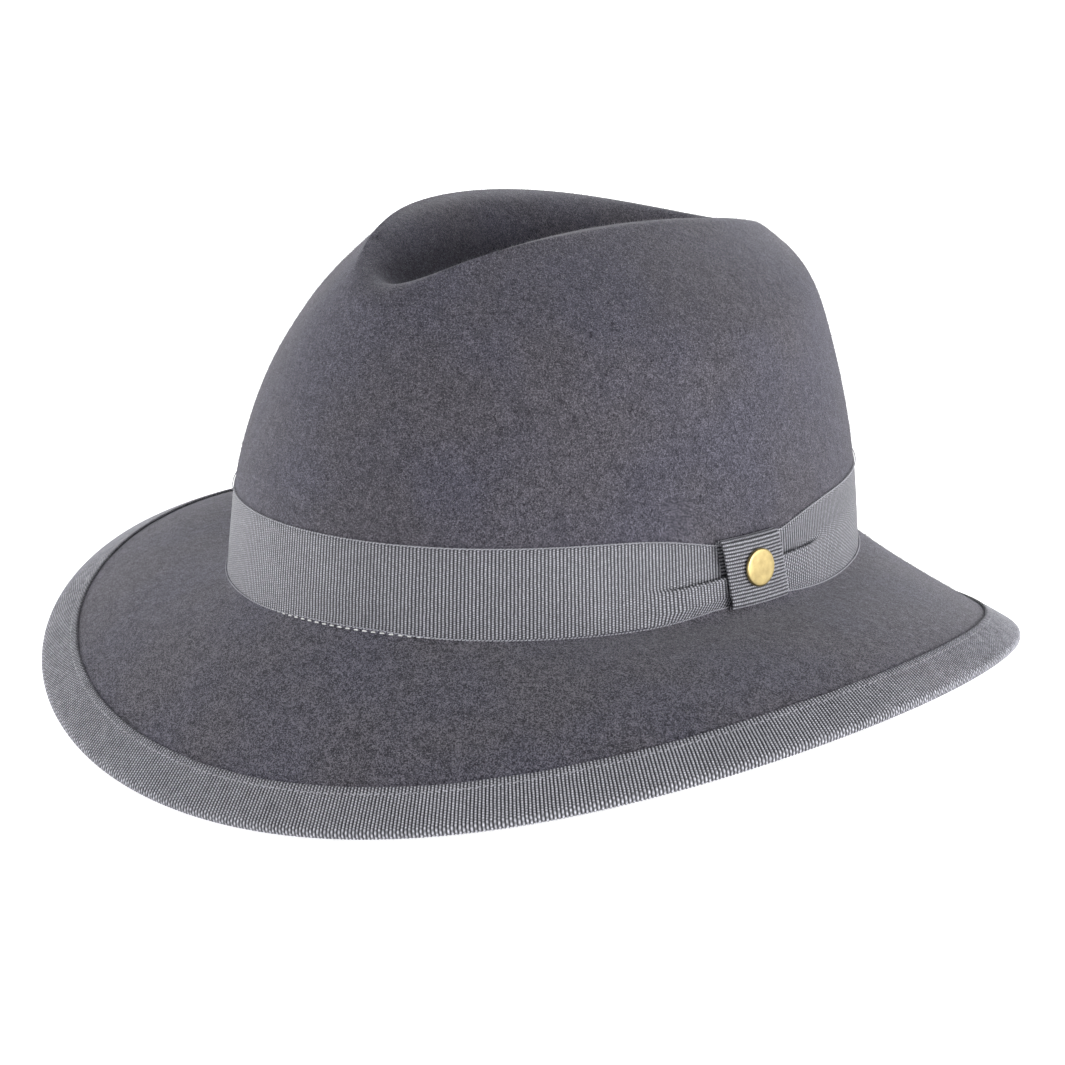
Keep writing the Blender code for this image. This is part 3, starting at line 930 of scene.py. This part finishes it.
def badge_washer(finish):
    """The ring that holds the badge's stud behind the keeper's front."""
    back = BAND_PROUD_AT_KEEPER + RIBBON + RIB_DEPTH + 0.1
    profile = np.array([(1.3, 0.05), (1.3, 0.25), (1.35, 0.3), (2.9, 0.3), (3.0, 0.2), (3.0, 0.05)])
    profile = np.concatenate([profile, [(2.9, 0.0), (1.35, 0.0)]])
    piece = turned_piece("badge_washer_gilt", profile + np.array([0, back]), False)
    place(piece, ["badge_washer"], finish)


def sweatband_seam(finish):
    """The seam that sews the sweatband in, in the corner under the band."""
    outline = lambda turn: wall(turn, 0 * turn, 0)
    turn = even_turns(outline, 222)[0]
    shows = seam_shows(turn)
    line = wall(turn, 0.42 * shows - 0.05, 0.42 * shows - 0.1)
    centres = (line[1:] + line[:-1]) / 2
    up = outward(turn[1:]) + np.array([0, 0, 0.9])
    up /= np.linalg.norm(up, axis=1, keepdims=True)
    along = line[1:] - line[:-1]
    piece = stitches("sweatband_seam_stitches", centres, along, up, 1.45, 0.24, 0.7, 0.03)
    place(piece, ["sweatband_stitching"], finish)


def sweatband(finish):
    turn = math.pi + np.linspace(0.003, 2 * math.pi - 0.003, 301)
    middle = np.linspace(SWEATBAND_TOP - 0.8, 1.0, 16)
    height = np.concatenate([[SWEATBAND_TOP - 0.3], middle, [0.6]])
    ease = 0.12 * np.sin(turn * 7)[None, :] * np.clip(height[:, None] / SWEATBAND_TOP, 0, 1)
    outer = wall(turn[None, :], height[:, None], -SWEATBAND_INSET + 0 * ease)
    inner = wall(turn[None, :], height[:, None], -(SWEATBAND_INSET + LEATHER) - np.abs(ease))
    rim = wall(turn[None, :], np.array([[SWEATBAND_TOP]]), -(SWEATBAND_INSET + LEATHER / 2))
    rows = np.concatenate([outer, inner[::-1], rim])
    piece = grid_piece("sweatband_leather", rows, around=False, loop=True)
    place(piece, ["sweatband"], finish)


def hoop(name, heights, insets):
    """A closed ring round the inside of the hat. heights and insets go round its section."""
    return grid_piece(name, wall(full_turn(300), heights[:, None], -insets[:, None]), loop=True)


def sweatband_reed(finish):
    """The round reed at the sweatband's lower edge."""
    spin = full_turn(10)
    middle = SWEATBAND_INSET + LEATHER / 2
    heights = REED_HEIGHT + REED_RADIUS * np.sin(spin)
    insets = middle + REED_RADIUS * np.cos(spin)
    piece = hoop("sweatband_reed_core", heights, insets)
    place(piece, ["sweatband_reed"], finish)


def reed_tape(finish):
    """The tape folded round the reed and up both faces of the sweatband."""
    middle, half = SWEATBAND_INSET + LEATHER / 2, LEATHER / 2 + 0.3
    fold = np.radians(np.linspace(0, 180, 9))
    heights = np.concatenate([[5.5, 3.5, 0.5], REED_HEIGHT - 0.9 * np.sin(fold), [0.5, 3.5, 5.5]])
    insets = middle + half * np.concatenate([[-1, -1, -1], -np.cos(fold), [1, 1, 1]])
    toward = np.stack([insets - middle, np.minimum(heights - REED_HEIGHT, 0)], axis=1)
    toward /= np.linalg.norm(toward, axis=1, keepdims=True)
    thick = 0.11 * toward
    heights = np.concatenate([heights + thick[:, 1], (heights - thick[:, 1])[::-1]])
    insets = np.concatenate([insets + thick[:, 0], (insets - thick[:, 0])[::-1]])
    piece = hoop("reed_tape_woven", heights, insets)
    place(piece, ["reed_tape"], finish)


def finer(rows, along, around):
    """The same closed-up grid with this many times as many rows and stations."""
    i = np.arange((len(rows) - 1) * along + 1) / along
    low = np.minimum(i.astype(int), len(rows) - 2)
    share = (i - low)[:, None, None]
    rows = rows[low] * (1 - share) + rows[low + 1] * share
    j = np.arange(rows.shape[1] * around) / around
    left = j.astype(int)
    share = (j - left)[None, :, None]
    return rows[:, left] * (1 - share) + np.roll(rows, -1, axis=1)[:, left] * share


def lining(finish):
    """A gathered side strip from behind the sweatband, and a tip under the dent."""
    tip_steps = [8, 7.5, 7, 6.5, 6, 5.5, 5, 4.5, 4, 3.5, 3.06]
    side_steps = [3, 2.5, 2, 1.4, 1.19]
    inset = np.full((len(tip_steps + side_steps), 1), -LINING_INSET)
    rows = lifted(crown(full_turn(60), np.array(tip_steps + side_steps)), inset)
    split = len(tip_steps)
    gathers = -0.08 + 0.08 * np.cos(72 * full_turn(360))[None, :]
    for name, part in (("tip", rows[:split]), ("side", rows[split:])):
        outer = finer(part, 6, 6)
        fade = np.linspace(0 if name == "tip" else 1, 1, len(outer))[:, None]
        outer = lifted(outer, gathers * fade)
        inner = lifted(outer, np.full((len(outer), 1), -0.3))
        shell = np.concatenate([outer, inner[::-1]])
        dome = name == "tip"
        piece = grid_piece("lining_" + name + "_satin", shell, loop=not dome, spine=dome)
        place(piece, ["lining_" + name], finish)


def inside_rows(middle, height, across, up, inset):
    """Points on the sweatband's inner face, from millimetres across, up and inwards."""
    return wall(middle + across / HEAD_HALF_LENGTH, height + up, -(TRIM_INSET + inset))


def bow_strip(across, up, inset, half_width):
    """A thick ribbon whose middle runs through these places on the sweatband."""
    span = np.linspace(-1, 1, 7)[:, None]
    up = up + half_width * span
    across = across + 0 * span
    front = inside_rows(math.pi, BOW_HEIGHT, across, up, inset + 0.06 * (1 - span**2))
    back = inside_rows(math.pi, BOW_HEIGHT, across, up, inset - 0.14 + 0 * span)
    rows = np.concatenate([front, back[:, ::-1]], axis=1)
    cords = np.concatenate([across[0], across[0, ::-1], across[0, :1]]) / RIB_PITCH
    return grid_faces(rows, spine=True, across=cords, along=2 * span[:, 0] / BEAD)


def sweatband_bow(finish):
    """A flat ribbon bow over the sweatband's back seam: two loops, two tails and a knot."""
    share = np.linspace(0, 1, 25)
    knot_inset = 1.05 + 0.1 * np.sin(math.pi * share)
    strips = [bow_strip(3 * share - 1.5, 0 * share, knot_inset, 1.5 + 0 * share)]
    for side in (1, -1):
        reach, flare = side * 9.2 * share, 1.1 + 1.7 * share**0.6
        strips.append(bow_strip(reach, 0.6 * share, 0.46 + 0.04 * share, flare))
        strips.append(bow_strip(reach, 0.6 * share, 0.84 - 0.12 * share, flare))
        strips.append(bow_strip(0.8 * reach, -2.4 * share, 0.2 + 0 * share, 0.9 + 0.3 * share))
    place(merged("sweatband_bow_ribbon", strips), ["sweatband_bow"], finish)


def blank_label(finish):
    """A plain woven label with a turned hem."""
    across = np.linspace(-1, 1, 61)[None, :]
    up = np.linspace(1, -1, 41)[:, None]
    edge = np.minimum(12 * (1 - np.abs(across)), 8 * (1 - np.abs(up)))
    hem = 0.10 + 0.28 * np.clip(edge / 0.3, 0, 1) - 0.12 * np.exp(-(((edge - 1.6) / 0.25) ** 2))
    across, up = np.broadcast_arrays(12 * across, 8 * up)
    front = inside_rows(LABEL_TURN, LABEL_HEIGHT, across, up, hem)
    back = inside_rows(LABEL_TURN, LABEL_HEIGHT, across, up, 0 * hem)
    piece = grid_piece("blank_label_cloth", np.concatenate([front, back[::-1]]), False, loop=True)
    place(piece, ["blank_label"], finish)


# Studio.


def direction_to(azimuth, elevation):
    """The unit vector towards a place round the hat. Azimuth 0 is in front of it."""
    azimuth, elevation = math.radians(azimuth), math.radians(elevation)
    return Vector((
        math.sin(azimuth) * math.cos(elevation),
        -math.cos(azimuth) * math.cos(elevation),
        math.sin(elevation),
    ))


def softbox(name, azimuth, elevation, power):
    light = bpy.data.lights.new(name, "AREA")
    light.shape = "RECTANGLE"
    light.size, light.size_y = SOFTBOX_WIDTH, SOFTBOX_DEPTH
    light.energy = power
    made = bpy.data.objects.new(name, light)
    bpy.context.scene.collection.objects.link(made)
    back = direction_to(azimuth, elevation)
    made.location = back * SOFTBOX_DISTANCE + Vector((0, 0, 0.04))
    made.rotation_euler = back.to_track_quat("Z", "Y").to_euler()
    made.visible_camera = False


def white_paper(name):
    paper = Shader(name, 0.9, Emission_Color=(1, 1, 1, 1), Emission_Strength=WALL_GLOW)
    paper.colour((0.93, 0.93, 0.93, 1))
    return paper


def lit_floor():
    """White paper lit from below, more so away from the hat, where the softboxes miss it."""
    paper = white_paper("floor_paper")
    distance = paper.tree.nodes.new("ShaderNodeVectorMath")
    distance.operation = "LENGTH"
    paper.feed(distance.inputs[0], paper.place())
    glow = paper.spread(distance.outputs["Value"], 800 * MM, 1300 * MM, 0.78, 1.05)
    paper.set(paper.principled, Emission_Strength=glow)
    return paper.material


def studio():
    """A light tent: a bright white floor and a pale wall all round, softboxes low at both sides
    and behind, two weaker ones higher up, and a dim ceiling."""
    scene = bpy.context.scene
    scene.view_settings.view_transform = "Standard"
    scene.world = bpy.data.worlds.new("ceiling")
    scene.world.use_nodes = True
    ceiling = scene.world.node_tree.nodes["Background"]
    ceiling.inputs["Color"].default_value = (1, 1, 1, 1)
    ceiling.inputs["Strength"].default_value = CEILING_GLOW
    sides = 64
    turn = full_turn(sides)
    circle = np.stack([np.cos(turn), np.sin(turn), 0 * turn], axis=-1) * TENT_RADIUS
    floor = mesh_piece("floor", circle, [tuple(range(sides))])
    floor.data.materials.append(lit_floor())
    quads = [(i, (i + 1) % sides, (i + 1) % sides + sides, i + sides) for i in range(sides)]
    wall_points = np.concatenate([circle, circle + np.array([0, 0, TENT_HEIGHT])])
    tent = mesh_piece("tent_wall", wall_points, quads)
    tent.data.materials.append(white_paper("wall_paper").material)
    for made in (floor, tent):
        made.location.z = CAD_BOX[0].z - 0.0005
    softbox("left_softbox", -60, 7, 6.5)
    softbox("left_top_softbox", -60, 45, 6.2)
    softbox("right_softbox", 98, 7, 12.3)
    softbox("right_top_softbox", 98, 45, 2.2)
    softbox("back_softbox", 221, 25, 5.2)


def camera():
    """The photograph's view: 41.4 degrees round to the wearer's left and 15.1 above level."""
    aim_right, aim_up = -4.2, 4.8
    back = direction_to(CAMERA_AZIMUTH, CAMERA_ELEVATION)
    right = direction_to(CAMERA_AZIMUTH + 90, 0)
    up = back.cross(right)
    lens = bpy.data.cameras.new("camera")
    lens.sensor_width = 36
    lens.lens = CAMERA_LENS
    lens.clip_start, lens.clip_end = 0.05, 20
    made = bpy.data.objects.new("camera", lens)
    bpy.context.scene.collection.objects.link(made)
    made.location = (back * CAMERA_DISTANCE + right * aim_right + up * aim_up) * MM
    made.rotation_euler = back.to_track_quat("Z", "Y").to_euler()
    bpy.context.scene.camera = made


for old in list(bpy.data.objects):
    if old.type in ("LIGHT", "CAMERA") or old.name == "Cube":
        bpy.data.objects.remove(old)

RIBBON_CLOTH = ribbon_material("band_grosgrain", BAND_TONE_WITH_PAINTED_SHADE)
felt_hood(felt_material())
felt_fuzz(thread_material("fuzz", (0.25, 0.245, 0.27)))
brim_binding(ribbon_material("binding_grosgrain", BINDING_TONE_WITH_PAINTED_LIGHT))
binding_stitches(thread_material("grey_thread", (0.36, 0.36, 0.40)))
hatband(RIBBON_CLOTH)
band_selvedges(thread_material("selvedge_thread", (0.42, 0.42, 0.47)))
hatband_keeper(RIBBON_CLOTH)
BRASS = brass_material()
badge_disc(BRASS)
badge_washer(BRASS)
sweatband_seam(thread_material("white_thread", (0.84, 0.84, 0.84)))
sweatband(leather_material())
sweatband_reed(thread_material("reed", (0.60, 0.58, 0.52)))
reed_tape(woven_material("tape_cloth", (0.02, 0.02, 0.024), (0.08, 0.08, 0.095), 0.9))
lining(satin_material())
sweatband_bow(RIBBON_CLOTH)
blank_label(woven_material("label_cloth", (0.45, 0.45, 0.42), (0.75, 0.75, 0.72), 0.7))
studio()
camera()
